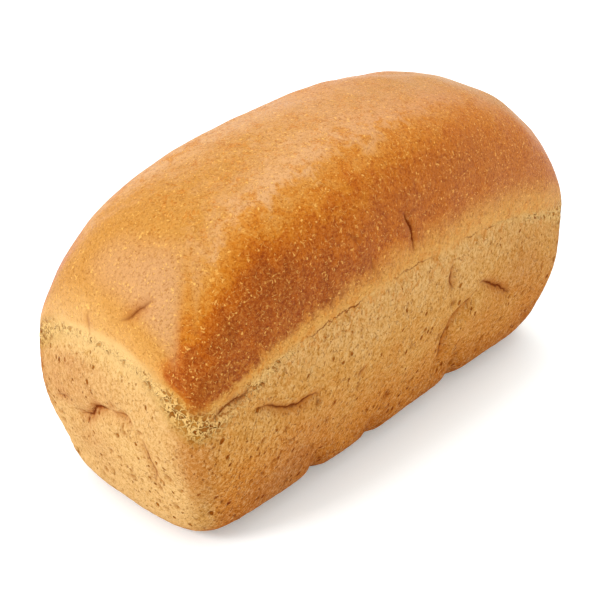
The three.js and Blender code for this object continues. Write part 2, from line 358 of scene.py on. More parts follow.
def smooth_loaf(place):
    """The loaf's smooth form at each grid place, with the height above the shred line."""
    half_x, half_y = CELLS_LONG / 2, CELLS_WIDE / 2
    x, y, row = place[:, 0] - half_x, place[:, 1] - half_y, place[:, 2].astype(float)
    ring = np.minimum(half_x - np.abs(x), half_y - np.abs(y))
    u = x / (half_x - ring)
    v = np.where(ring < half_y, y / np.maximum(half_y - ring, 0.5), 1.0)
    at = np.zeros((len(place), 3))
    above = np.zeros(len(place))
    crown_row = (ring / half_y) ** CROWN_ROW_SPREAD
    wall_rows = CELLS_HIGH - EDGE_ROWS
    stretches = (
        ((ring > 0) & (row > 0), crown_points, 1 - np.cos(math.pi / 2 * crown_row)),
        ((ring > 0) & (row == 0), base_points, ring / half_y),
        ((ring == 0) & (row <= EDGE_ROWS), edge_points, math.pi / 2 * row / EDGE_ROWS),
        ((ring == 0) & (row > EDGE_ROWS), wall_points, (row - EDGE_ROWS) / wall_rows),
    )
    for chosen, points, share in stretches:
        at[chosen], above[chosen] = points(u[chosen], v[chosen], share[chosen])
    return at, above


def vertex_normals(at, quads):
    across = at[quads[:, 2]] - at[quads[:, 0]]
    other = at[quads[:, 3]] - at[quads[:, 1]]
    face_normals = np.cross(across, other)
    normals = np.zeros_like(at)
    for corner in range(4):
        np.add.at(normals, quads[:, corner], face_normals)
    return normals / np.maximum(np.linalg.norm(normals, axis=1, keepdims=True), 1e-12)


# ---- Relief ----

# Sizes in mm of the mesh's fine relief. Cracks stray from their paths in slow curves and in jags.
CURVE_REACH = 0.9
CURVE_LENGTH = 9.0
JAG_REACH = 0.7
JAG_LENGTH = 2.8
CRACK_DEPTH = 1.0
CRACK_HALF_WIDTH = 1.0

# Puckers of the drying skin, which are higher on the walls than on the crown.
CROWN_PUCKERS = 0.05
WALL_PUCKERS_MORE = 0.09
SMALL_PUCKER = 2.6
LARGE_PUCKER = 5.5

# Short upright ridges by the shred line, and broad buckles, mostly of the crown.
TORN_RIDGE_HEIGHT = 0.3
TORN_RIDGE_SPACING = 2.2
TORN_RIDGE_REACH = 3.5
BUCKLE_HEIGHT = 0.25
BUCKLE_LENGTH = 15.0

# The torn band's half width along the sides, how much wider it is near the ends, on them and at the
# corners, and how far its middle drops below the shred line where it gapes.
BAND_HALF_WIDTH = 1.0
WIDER_NEAR_END = 0.8
WIDER_ON_END = 1.4
WIDER_AT_CORNER = 2.4
BAND_DROP = 1.8

# Pores that are large enough to be hollows of the mesh. Their number, radius, depth as a share of
# the radius, how much more usual a small one is than a large one, and the wall by the shred line
# that has none.
PORE_SEED = 11
PORES_PER_WALL_CM2 = 0.45
PORE_RADII = (0.9, 1.8)
PORE_DEPTH = 0.5
PORE_SKEW = 2.5
PORE_FREE_WALL = 8.0


def noise(at, length, seed):
    """Smooth noise between about -1 and 1, with bumps of that length."""
    rng = np.random.default_rng(seed)
    order = rng.permutation(256)
    slopes = rng.normal(size=(256, 3))
    slopes /= np.linalg.norm(slopes, axis=1, keepdims=True)
    spot = at / length
    cell = np.floor(spot).astype(int)
    part = spot - cell
    fade = part ** 3 * (part * (part * 6 - 15) + 10)
    total = np.zeros(len(at))
    for corner in itertools.product((0, 1), repeat=3):
        i, j, k = (cell + corner).T
        pick = order[(order[(order[i & 255] + j) & 255] + k) & 255]
        weight = np.prod(np.where(corner, fade, 1 - fade), axis=1)
        total += weight * np.sum(slopes[pick] * (part - corner), axis=1)
    return total * 1.5


def lumps(at):
    """The slow unevenness of hand-shaped dough."""
    height = np.zeros(len(at))
    for i, length in enumerate(LUMP_LENGTHS):
        turn = GOLDEN_ANGLE * (i + 1)
        phase = at @ np.array([math.cos(turn), math.sin(turn), math.cos(2 * turn)])
        height += np.sin(2 * math.pi * phase / length + turn) / (i + 1)
    return LUMP_HEIGHT * height


def shred_line(at, above):
    """The groove along the shred line, deeper and shallower by turns."""
    wave = np.sin(2 * math.pi * (at[:, 0] - at[:, 1]) / TEAR_LENGTH)
    uneven = 1 - TEAR_UNEVENNESS + TEAR_UNEVENNESS * wave
    return -SHRED_DEPTH * uneven * bell(above, SHRED_HALF_HEIGHT)


def path_distance(path, p, q):
    """Distance to a path in the plane, below 0 on its right-hand side, and the share of the path
    run there."""
    nearest = np.full(len(p), np.inf)
    side = np.ones(len(p))
    run = np.zeros(len(p))
    for step, ((p0, q0), (p1, q1)) in enumerate(zip(path, path[1:])):
        dp, dq = p1 - p0, q1 - q0
        t = np.clip(((p - p0) * dp + (q - q0) * dq) / (dp * dp + dq * dq), 0, 1)
        distance = np.hypot(p - p0 - dp * t, q - q0 - dq * t)
        closer = distance < nearest
        nearest = np.where(closer, distance, nearest)
        side = np.where(closer, np.sign(dp * (q - q0) - dq * (p - p0)), side)
        run = np.where(closer, (step + t) / (len(path) - 1), run)
    return nearest * side, run


def folds(at, normals, table):
    """Grooves along the paths of a table."""
    height = np.zeros(len(at))
    for wall, path, depth, half in table:
        out, along, up = WALLS[wall]
        faces = normals @ np.array(out) > FACING
        distance, _ = path_distance(path, at[faces, along], at[faces, up])
        height[faces] -= depth * bell(distance, half)
    return height


def cracks(at, normals):
    """For the nearest crack: the signed distance to it in mm, how open it is close by, and how much
    its crease shades the skin on both sides."""
    side = np.full(len(at), CRACK_REACH)
    opening = np.zeros(len(at))
    for wall, path, widest in CRACKS:
        out, along, up = WALLS[wall]
        distance, run = path_distance(path, at[:, along], at[:, up])
        nearer = (normals @ np.array(out) > FACING) & (np.abs(distance) < np.abs(side))
        side[nearer] = distance[nearer]
        opening[nearer] = widest * np.sin(math.pi * run[nearer]) ** 0.5
    close_by = smooth_step(CRACK_REACH / 2, CRACK_REACH / 4, np.abs(side))
    return side, opening * close_by, opening * smooth_step(CRACK_REACH, 0, np.abs(side)) ** 2.5


def pores(at, normals, above):
    """Hollows pressed along the normals, most of them near the foot, and how deep in a hollow each
    vertex lies, 0 to 1."""
    rng = np.random.default_rng(PORE_SEED)
    tree = kdtree.KDTree(len(at))
    for i, co in enumerate(at):
        tree.insert(co, i)
    tree.balance()
    wall_area_cm2 = 2 * (RIM_LENGTH + RIM_WIDTH) * RIM_HEIGHT / 100
    has_pores = (above < -PORE_FREE_WALL) & (at[:, 2] > BASE_CLEAR)
    chance = has_pores * (0.2 + smooth_step(60, 12, at[:, 2]))
    count = int(PORES_PER_WALL_CM2 * wall_area_cm2)
    height = np.zeros(len(at))
    hollow = np.zeros(len(at))
    for centre in rng.choice(len(at), count, replace=False, p=chance / chance.sum()):
        radius = PORE_RADII[0] + (PORE_RADII[1] - PORE_RADII[0]) * rng.random() ** PORE_SKEW
        stretch = 1 + rng.random()
        turn = rng.uniform(0, math.pi)
        normal = normals[centre]
        side = np.cross(normal, (0.0, 0.0, 1.0))
        side /= max(np.linalg.norm(side), 1e-6)
        up = np.cross(side, normal)
        long_way = side * math.cos(turn) + up * math.sin(turn)
        found = [i for _, i, _ in tree.find_range(at[centre], radius * stretch)]
        offset = at[found] - at[centre]
        along = offset @ long_way
        across = np.linalg.norm(offset - np.outer(along, long_way), axis=1)
        share = np.clip(1 - (along / stretch / radius) ** 2 - (across / radius) ** 2, 0, 1)
        height[found] -= PORE_DEPTH * radius * share
        hollow[found] = np.maximum(hollow[found], share)
    return height, hollow


def torn_band(at, above):
    """Where each point lies across the torn band, 0 at its middle and 1 at its edge, and how much
    of a web the band is there. It is a hairline along the sides, and gapes at corners and ends."""
    at_corner = smooth_step(0.4, 0.85, cornerness(at[:, 0], at[:, 1]) ** (1 / DIP_SHARPNESS))
    at_end = smooth_step(84, 104, np.abs(at[:, 0]))
    gape = np.maximum(at_corner, at_end)
    near_end = smooth_step(55, 80, np.abs(at[:, 0]))
    half_width = BAND_HALF_WIDTH + WIDER_NEAR_END * near_end
    half_width = half_width + WIDER_ON_END * at_end + WIDER_AT_CORNER * at_corner
    half_width *= 1 + 0.5 * noise(at, 13, seed=41)
    torn_open = np.maximum(gape, 0.7 * near_end) + 0.6 * noise(at, 17, seed=42)
    return (above + BAND_DROP * gape) / half_width, smooth_step(0.1, 0.5, torn_open)


def painted_light_and_browning(at, normals):
    """How much of the painted highlight lies on each point, and how much more the oven
    browned it there, with painted shade at one place.
    """
    # the right end's painted highlight is the left end's, turned half round
    turned = normals * np.sign(-normals[:, :1] + 1e-9) * (1, 1, 0) + normals * (0, 0, 1)
    dried = HIGHLIGHT_SHARE * smooth_step(HIGHLIGHT_EDGE, HIGHLIGHT_FULL, turned @ np.array(HIGHLIGHT_FACING))
    browned = np.zeros(len(at))
    for place, reach, more in BROWNING_AND_SHADE_PLACES:
        browned += more * bell(np.linalg.norm(at - place, axis=1), reach)
    return dried, browned


def skin_relief(at, normals, above):
    """Height of the skin over the smooth form, with the fields that colour it."""
    curve = np.column_stack([noise(at, CURVE_LENGTH, seed) for seed in (21, 22, 23)])
    jag = np.column_stack([noise(at, JAG_LENGTH, seed) for seed in (24, 25, 26)])
    strayed = at + CURVE_REACH * curve + JAG_REACH * jag
    crack_side, crack_open, crease_shade = cracks(strayed, normals)
    crack_height = -CRACK_DEPTH * crack_open * bell(crack_side, CRACK_HALF_WIDTH)
    pore_height, hollow = pores(at, normals, above)
    puckers = CROWN_PUCKERS + WALL_PUCKERS_MORE * smooth_step(0, -6, above)
    puckers *= noise(at, SMALL_PUCKER, seed=31) + 0.6 * noise(at, LARGE_PUCKER, seed=32)
    ridges = TORN_RIDGE_HEIGHT * bell(above, TORN_RIDGE_REACH)
    ridges *= noise(at * (1, 1, 0.7), TORN_RIDGE_SPACING, seed=33)
    buckles = BUCKLE_HEIGHT * noise(at, BUCKLE_LENGTH, seed=34)
    buckles *= 0.4 + smooth_step(-2, 6, above)
    height = lumps(at) + shred_line(at, above) + folds(at, normals, FOLDS)
    height += crack_height + pore_height + puckers + ridges + buckles
    torn_place, webbed = torn_band(at, above)
    # the painted highlight, and the oven's browning with one place of painted shade
    dried, browned = painted_light_and_browning(at, normals)
    fields = {
        "above_shred_line": above, "torn_place": torn_place, "webbed": webbed, "hollow": hollow,
        "crack_side": crack_side, "crack_open": crack_open, "crease_shade": crease_shade,
        "faces_side": np.abs(normals[:, 1]), "faces_end": np.abs(normals[:, 0]),
        "dried": dried, "browned": browned,
    }
    return height * np.clip(at[:, 2] / BASE_CLEAR, 0, 1), fields


# ---- Materials ----

# Sizes in mm of the crust's patterns. The grain, strokes and threads of a real crust are about
# 0.3 mm wide, too fine to show from here, so these are drawn as coarse as they need to be.
BLOTCH_SIZE = 24.0
MOTTLE_SIZE = 6.0
CRUMPLE_SIZE = 6.0
WRINKLE_SIZE = 7.0
STREAK_SIZE = 2.6
STROKE_SPACING = 1.7
HELD_GRAIN_SIZE = 1.3
OPEN_GRAIN_SIZE = 1.1
WEB_CELL = 2.3
WEB_CURL = 3.2
STRAY_SIZE = 1.5
STRAY_REACH = 1.3

# Pits and dots, in mm: their spacing, the radius of the largest, and the width of their soft edge.
FLECKS = (2.2, 0.52, 0.25)
FAINT_FLECKS = (1.3, 0.42, 0.25)
LARGE_PORES = (3.2, 1.0, 0.5)
SMALL_PORES = (1.6, 0.58, 0.3)

# The crumb rose as it set, so its pores, slits and grain are drawn out upwards, at a lean.
RISE_LEAN = math.radians(24)
RISE_STRETCH = 1.5

# Heights in mm of the relief that is too fine for the mesh. The grain uses a small part of its own.
PIT_HEIGHT = 0.4
GRAIN_HEIGHT = 1.6

# Satin where the open oven dried the skin, and matt where the tin held it and in every hollow.
HELD_ROUGHNESS = 0.8
OPEN_ROUGHNESS = 0.34
CRUST_IOR = 1.45
CRUST_SPECULAR = 0.08


def linear(hex_colour):
    """An sRGB hex colour as linear red, green, blue and alpha."""
    values = [int(hex_colour[i:i + 2], 16) / 255 for i in (0, 2, 4)]
    return [v / 12.92 if v <= 0.04045 else ((v + 0.055) / 1.055) ** 2.4 for v in values] + [1.0]


def empty_tree(owner):
    """The node tree of a material or a world, emptied."""
    owner.use_nodes = True
    owner.node_tree.nodes.clear()
    return owner.node_tree


def add(tree, kind, inputs=(), stops=(), **settings):
    """Adds a node with its settings, ramp stops, and inputs by name or in order: values, hex
    colours, or what to link."""
    node = tree.nodes.new("ShaderNode" + kind)
    for name, value in settings.items():
        setattr(node, name, value)
    for i, (position, colour) in enumerate(stops):
        ramp = node.color_ramp.elements
        element = ramp[i] if i < len(ramp) else ramp.new(1.0)
        element.position = position
        element.color = linear(colour)
    for name, value in inputs.items() if isinstance(inputs, dict) else enumerate(inputs):
        shown = [s for s in node.inputs if s.enabled]
        socket = shown[name] if isinstance(name, int) else next(s for s in shown if s.name == name)
        if isinstance(value, str):
            value = linear(value)
        if isinstance(value, bpy.types.Node):
            value = next(s for s in value.outputs if s.enabled)
        if isinstance(value, bpy.types.NodeSocket):
            tree.links.new(value, socket)
        else:
            socket.default_value = value
    return node


def pits(tree, places, size, few):
    """1 inside small pits and 0 between them. A cell as wide as the spacing holds one pit, but for
    a share of the cells, and its radius goes from under half to that of the largest."""
    spacing, radius, soft = size
    spots = add(tree, "VectorMath", {0: places, "Scale": 1 / spacing}, operation="SCALE")
    cells = add(tree, "TexVoronoi", {"Vector": spots, "Scale": 1.0})
    draw = add(tree, "SeparateColor", {"Color": cells.outputs["Color"]})
    reach = add(tree, "MapRange", {"Value": draw.outputs["Green"], "To Min": 0.4 * radius / spacing,
        "To Max": radius / spacing})
    inner = add(tree, "Math", (reach, soft / spacing), operation="SUBTRACT")
    pit = add(tree, "MapRange", {"Value": cells.outputs["Distance"], "From Min": reach,
        "From Max": inner}, interpolation_type="SMOOTHSTEP")
    there = add(tree, "Math", (draw.outputs["Red"], few), operation="GREATER_THAN")
    return add(tree, "Math", (pit, there), operation="MULTIPLY")


def strokes(tree, places, few):
    """1 on short curled strokes and 0 between them: the crests of a noise, cut short by a second
    noise, which leaves out more of them the closer few comes to 1."""
    crests = add(tree, "TexNoise", {"Vector": places, "Scale": 1 / STROKE_SPACING, "Detail": 0.0,
        "Offset": 1.0, "Distortion": 0.5}, noise_type="RIDGED_MULTIFRACTAL")
    line = add(tree, "MapRange", {"Value": crests, "From Min": 0.78, "From Max": 0.94})
    shown = add(tree, "TexNoise", {"Vector": places, "Scale": 1.3 / STROKE_SPACING, "Detail": 1.0})
    shown = add(tree, "MapRange", {"Value": shown, "From Min": few, "From Max": few + 0.06})
    return add(tree, "Math", (line, shown), operation="MULTIPLY")


def skin_patterns(tree, field_names):
    """What the parts of the crust share: the mesh's fields, the place in mm, and the unevenness of
    the skin from broad to fine."""
    skin = types.SimpleNamespace()
    for name in field_names:
        setattr(skin, name, add(tree, "Attribute", attribute_name=name).outputs["Fac"])
    here = add(tree, "TexCoord")
    skin.mm = add(tree, "VectorMath", {0: here.outputs["Object"], "Scale": 1 / MM},
        operation="SCALE")
    place = add(tree, "SeparateXYZ", {"Vector": skin.mm})
    skin.x, skin.z = place.outputs["X"], place.outputs["Z"]
    skin.blotches = add(tree, "TexNoise", {"Vector": skin.mm, "Scale": 1 / BLOTCH_SIZE,
        "Detail": 2.0, "Roughness": 0.5})
    skin.mottle = add(tree, "TexNoise", {"Vector": skin.mm, "Scale": 1 / MOTTLE_SIZE, "Detail": 4.0,
        "Roughness": 0.72, "Distortion": 0.4})
    skin.uneven = add(tree, "Math", (skin.blotches, skin.mottle), operation="ADD")
    skin.stray = add(tree, "TexNoise", {"Vector": skin.mm, "Scale": 1 / STRAY_SIZE, "Detail": 1.0})
    skin.stray = add(tree, "VectorMath", (skin.stray.outputs["Color"], (0.5, 0.5, 0.5)),
        operation="SUBTRACT")
    skin.warped = add(tree, "VectorMath", (skin.stray, (STRAY_REACH,) * 3, skin.mm),
        operation="MULTIPLY_ADD")
    skin.drawn_out = add(tree, "Mapping", {"Vector": skin.warped, "Rotation": (0, RISE_LEAN, 0),
        "Scale": (1, 1, RISE_STRETCH)}, vector_type="TEXTURE")
    skin.crumple = add(tree, "TexNoise", {"Vector": skin.warped, "Scale": 1 / CRUMPLE_SIZE,
        "Detail": 4.0, "Roughness": 0.6, "Distortion": 1.2})
    skin.crumple = add(tree, "MapRange", {"Value": skin.crumple, "From Min": 0.35, "From Max": 0.65,
        "To Min": -0.1, "To Max": 0.1})
    skin.open_crust = add(tree, "MapRange", {"Value": skin.above_shred_line, "From Min": -3.0,
        "From Max": 3.0}, interpolation_type="SMOOTHSTEP")
    held_grain = add(tree, "TexNoise", {"Vector": skin.drawn_out, "Scale": 1 / HELD_GRAIN_SIZE,
        "Detail": 4.0, "Roughness": 0.9})
    open_grain = add(tree, "TexNoise", {"Vector": skin.warped, "Scale": 1 / OPEN_GRAIN_SIZE,
        "Detail": 3.0, "Roughness": 0.9})
    skin.grain = add(tree, "Mix", {"Factor": skin.open_crust, "A": held_grain, "B": open_grain})
    skin.at_corner = add(tree, "Math", (skin.faces_end, skin.faces_side), operation="MULTIPLY")
    skin.pale_end = add(tree, "MapRange", {"Value": skin.faces_end, "From Min": 0.5,
        "From Max": 0.9, "To Max": 0.85})
    skin.back_half = add(tree, "MapRange", {"Value": place.outputs["Y"], "From Min": -14.0,
        "From Max": 10.0, "To Min": 0.3})
    return skin


def wall_colour(tree, skin):
    """Straw below the shred line and browner to the foot. An end is paler, with a tan blush across
    its middle, and the edge between end and side is browner."""
    tone = add(tree, "MapRange", {"Value": skin.uneven, "From Min": 0.6, "From Max": 1.4,
        "To Min": -14.0, "To Max": 14.0})
    tone = add(tree, "Math", (tone, skin.z), operation="ADD")
    # browning darkens the wall, and at one place on the left end this is painted shade
    tone = add(tree, "Math", (skin.browned, -25.0, tone), operation="MULTIPLY_ADD")
    tone = add(tree, "MapRange", {"Value": tone, "From Max": 80.0})
    wall = add(tree, "ValToRGB", {"Fac": tone}, stops=((0.12, FOOT_BROWN), (0.35, WALL_TAN),
        (0.65, WALL_GOLD), (0.9, WALL_STRAW)))
    wall = add(tree, "Mix", {"Factor": skin.pale_end, "A": wall, "B": END_STRAW}, data_type="RGBA")
    above = skin.above_shred_line
    blush = add(tree, "MapRange", {"Value": above, "From Min": -6.0, "From Max": -14.0},
        interpolation_type="SMOOTHSTEP")
    blush_foot = add(tree, "MapRange", {"Value": above, "From Min": -40.0, "From Max": -24.0},
        interpolation_type="SMOOTHSTEP")
    blotchy = add(tree, "MapRange", {"Value": skin.uneven, "From Min": 0.8, "From Max": 1.15,
        "To Min": 0.5, "To Max": 0.85})
    for share in (blush_foot, skin.pale_end, blotchy):
        blush = add(tree, "Math", (blush, share), operation="MULTIPLY")
    blush = add(tree, "Math", (blush, skin.back_half, skin.browned), operation="MULTIPLY_ADD")
    wall = add(tree, "Mix", {"Factor": blush, "A": wall, "B": END_TAN}, data_type="RGBA")
    edge = add(tree, "MapRange", {"Value": skin.at_corner, "From Min": 0.15, "From Max": 0.48,
        "To Max": 0.9}, interpolation_type="SMOOTHSTEP")
    edge_colour = add(tree, "MapRange", {"Value": skin.z, "From Min": 18.0, "From Max": 42.0})
    edge_colour = add(tree, "Mix", {"Factor": edge_colour, "A": CORNER_STRAW, "B": CORNER_TAN},
        data_type="RGBA")
    return add(tree, "Mix", {"Factor": edge, "A": wall, "B": edge_colour}, data_type="RGBA")


def crown_colour(tree, skin):
    """Tan on top, gold at the ends, orange to brown on the long sides, and paler by the shred
    line, with a painted highlight on the dome of the end."""
    above, at_corner, browned = skin.above_shred_line, skin.at_corner, skin.browned
    tone = add(tree, "MapRange", {"Value": skin.uneven, "From Min": 0.6, "From Max": 1.4,
        "To Min": -0.16, "To Max": 0.16})
    for more in (skin.faces_side, browned, skin.crumple):
        tone = add(tree, "Math", (tone, more), operation="ADD")
    corner_tone = add(tree, "MapRange", {"Value": above, "From Min": 46.0, "From Max": 20.0,
        "To Min": -0.3, "To Max": 0.6})
    tone = add(tree, "Math", (at_corner, corner_tone, tone), operation="MULTIPLY_ADD")
    tone = add(tree, "MapRange", {"Value": tone, "From Max": 1.25})
    crown = add(tree, "ValToRGB", {"Fac": tone}, stops=((0.2, CROWN_GOLD), (0.36, CROWN_TAN),
        (0.5, CROWN_AMBER), (0.66, CROWN_ORANGE), (0.8, CROWN_BROWN), (1.0, CROWN_DARK)))
    paler = add(tree, "MapRange", {"Value": skin.x, "From Min": -50.0, "From Max": 100.0,
        "To Max": 0.7}, interpolation_type="SMOOTHSTEP")
    crown = add(tree, "Mix", {"Factor": paler, "A": crown, "B": CROWN_PALE}, data_type="RGBA")

    # low down the side's orange wraps round the corner onto the end
    at_end = add(tree, "Math", (skin.faces_end, skin.faces_side), operation="SUBTRACT")
    wrapped = add(tree, "MapRange", {"Value": above, "From Min": 34.0, "From Max": 6.0,
        "To Min": 0.05, "To Max": -0.2})
    for cause, share in ((browned, -1.3), (skin.mottle, 0.7)):
        wrapped = add(tree, "Math", (cause, share, wrapped), operation="MULTIPLY_ADD")
    at_end = add(tree, "Math", (at_end, wrapped), operation="ADD")
    at_end = add(tree, "MapRange", {"Value": at_end, "From Min": 0.26, "From Max": 0.64})
    crown = add(tree, "Mix", {"Factor": at_end, "A": crown, "B": CROWN_END}, data_type="RGBA")
    # the paler patch on the end's dome is a painted highlight
    crown = add(tree, "Mix", {"Factor": skin.dried, "A": crown, "B": DOME_HIGHLIGHT}, data_type="RGBA")

    # the pale rim spreads higher on the ends and to the right, and is narrow at the corners
    rim = add(tree, "MapRange", {"Value": skin.mottle, "From Min": 0.3, "From Max": 0.7,
        "To Min": -3.0, "To Max": 3.0})
    rim = add(tree, "Math", (rim, above), operation="ADD")
    spread = add(tree, "MapRange", {"Value": skin.x, "From Min": -60.0, "From Max": 105.0,
        "To Min": 10.0, "To Max": 22.0})
    for cause, share in ((at_end, 10.0), (at_corner, -16.0)):
        spread = add(tree, "Math", (cause, share, spread), operation="MULTIPLY_ADD")
    rim = add(tree, "MapRange", {"Value": rim, "From Min": spread, "From Max": 2.0},
        interpolation_type="SMOOTHSTEP")
    rim_strength = add(tree, "MapRange", {"Value": at_end, "To Min": 1.0, "To Max": 0.5})
    rim = add(tree, "Math", (rim, rim_strength), operation="MULTIPLY")
    rim_colour = add(tree, "Math", (at_end, skin.back_half), operation="MULTIPLY")
    rim_colour = add(tree, "Mix", {"Factor": rim_colour, "A": RIM_GOLD, "B": END_STRAW},
        data_type="RGBA")
    return add(tree, "Mix", {"Factor": rim, "A": crown, "B": rim_colour}, data_type="RGBA")


def drawn_skin(tree, skin, colour):
    """Streaks by the shred line, where the skin was drawn out thin, and short wrinkles where the
    top dried, a little redder than the skin round them."""
    by_line = add(tree, "Math", (skin.above_shred_line,), operation="ABSOLUTE")
    by_line = add(tree, "MapRange", {"Value": by_line, "From Min": 14.0, "From Max": 4.0,
        "To Max": 0.75})
    by_line = add(tree, "Math", (by_line, skin.faces_side), operation="MULTIPLY")
    streaks = add(tree, "TexNoise", {"Vector": skin.drawn_out, "Scale": 1 / STREAK_SIZE,
        "Detail": 2.0, "Roughness": 0.6, "Distortion": 0.8})
    streaks = add(tree, "MapRange", {"Value": streaks, "From Min": 0.5, "From Max": 0.62})
    streaks = add(tree, "Math", (streaks, by_line), operation="MULTIPLY")
    colour = add(tree, "Mix", {"Factor": streaks, "A": colour, "B": WALL_TAN}, data_type="RGBA")
    wrinkles = add(tree, "TexNoise", {"Vector": skin.warped, "Scale": 1 / WRINKLE_SIZE,
        "Detail": 3.0, "Roughness": 0.6, "Distortion": 2.0})
    wrinkles = add(tree, "Math", (wrinkles, 0.5, 0.035), operation="COMPARE")
    crumpled = add(tree, "MapRange", {"Value": skin.crumple, "From Min": -0.02, "From Max": 0.04,
        "To Max": 0.55})
    steep = add(tree, "Math", (skin.faces_end, skin.faces_side), operation="MAXIMUM")
    on_top = add(tree, "MapRange", {"Value": steep, "From Min": 0.65, "From Max": 0.35})
    for share in (crumpled, on_top):
        wrinkles = add(tree, "Math", (wrinkles, share), operation="MULTIPLY")
    return add(tree, "Mix", {"Factor": wrinkles, "A": colour, "B": CROWN_AMBER}, data_type="RGBA")


def grained_skin(tree, skin, colour):
    """Fine grain: deeper and redder in its dips, paler on its ridges, and strongest on the sides'
    walls."""
    open_crust, grain = skin.open_crust, skin.grain
    crown_depth = add(tree, "MapRange", {"Value": skin.faces_side, "From Min": 0.2, "From Max": 0.8,
        "To Min": 0.75, "To Max": 0.9})
    wall_depth = add(tree, "MapRange", {"Value": skin.pale_end, "To Min": 1.0, "To Max": 0.75})
    depth = add(tree, "Mix", {"Factor": open_crust, "A": wall_depth, "B": crown_depth})
    dip = add(tree, "MapRange", {"Value": grain, "From Min": 0.5, "From Max": 0.36})
    dip = add(tree, "Math", (dip, depth), operation="MULTIPLY")
    deep = add(tree, "Mix", {"Factor": open_crust, "A": GRAIN_DEEP, "B": GRAIN_RUST},
        data_type="RGBA")
    colour = add(tree, "Mix", {"Factor": dip, "A": colour, "B": deep}, data_type="RGBA",
        blend_type="MULTIPLY")
    ridge = add(tree, "MapRange", {"Value": grain, "From Min": 0.5, "From Max": 0.64,
        "To Max": 0.3})
    ridge = add(tree, "Math", (ridge, depth), operation="MULTIPLY")
    pale = add(tree, "Mix", {"Factor": open_crust, "A": GRAIN_PALE, "B": GRAIN_GOLD},
        data_type="RGBA")
    return add(tree, "Mix", {"Factor": ridge, "A": colour, "B": pale}, data_type="RGBA")


def flecked_crown(tree, skin, colour):
    """Pale flecks on the crown: dots, fainter dots between them, and curled strokes."""
    dots = pits(tree, skin.warped, FLECKS, 0.4)
    dots = add(tree, "Math", (dots, 0.85), operation="MULTIPLY")
    faint = pits(tree, skin.warped, FAINT_FLECKS, 0.35)
    faint = add(tree, "Math", (faint, 0.35), operation="MULTIPLY")
    curls = strokes(tree, skin.warped, 0.55)
    curls = add(tree, "Math", (curls, 0.7), operation="MULTIPLY")
    flecks = add(tree, "Math", (dots, faint), operation="MAXIMUM")
    flecks = add(tree, "Math", (flecks, curls), operation="MAXIMUM")
    flecks = add(tree, "Math", (flecks, skin.open_crust), operation="MULTIPLY")
    tint = add(tree, "Math", (flecks, 0.7), operation="MULTIPLY")
    colour = add(tree, "Mix", {"Factor": tint, "A": colour, "B": FLECK_CREAM}, data_type="RGBA")
    return colour, flecks


def pored_wall(tree, skin, colour):
    """Pores and slits on the walls: more of them towards the foot and by a crease, and fewer on an
    end. Painted shade darkens them and the mesh's hollows."""
    few = add(tree, "MapRange", {"Value": skin.z, "From Min": 74.0, "From Max": 30.0, "To Min": 0.7,
        "To Max": 0.1})
    for cause, share in ((skin.pale_end, 0.12), (skin.crease_shade, -0.5)):
        few = add(tree, "Math", (cause, share, few), operation="MULTIPLY_ADD")
    large = pits(tree, skin.drawn_out, LARGE_PORES, few)
    small = pits(tree, skin.drawn_out, SMALL_PORES, few)
    small = add(tree, "Math", (small, 0.65), operation="MULTIPLY")
    slits = strokes(tree, skin.drawn_out, 0.54)
    slit_tint = add(tree, "MapRange", {"Value": skin.pale_end, "To Min": 0.55, "To Max": 0.3})
    slits = add(tree, "Math", (slits, slit_tint), operation="MULTIPLY")
    pored = add(tree, "Math", (large, small), operation="MAXIMUM")
    pored = add(tree, "Math", (pored, slits), operation="MAXIMUM")
    held_crust = add(tree, "Math", (1.0, skin.open_crust), operation="SUBTRACT")
    pored = add(tree, "Math", (pored, held_crust), operation="MULTIPLY")
    # painted shade in the pores, slits and the mesh's hollows
    hollow = add(tree, "Math", (skin.hollow, 0.8), operation="MULTIPLY")
    tint = add(tree, "Math", (pored, hollow), operation="MAXIMUM")
    colour = add(tree, "Mix", {"Factor": tint, "A": colour, "B": PORE_SHADE}, data_type="RGBA",
        blend_type="MULTIPLY")
    return colour, pored


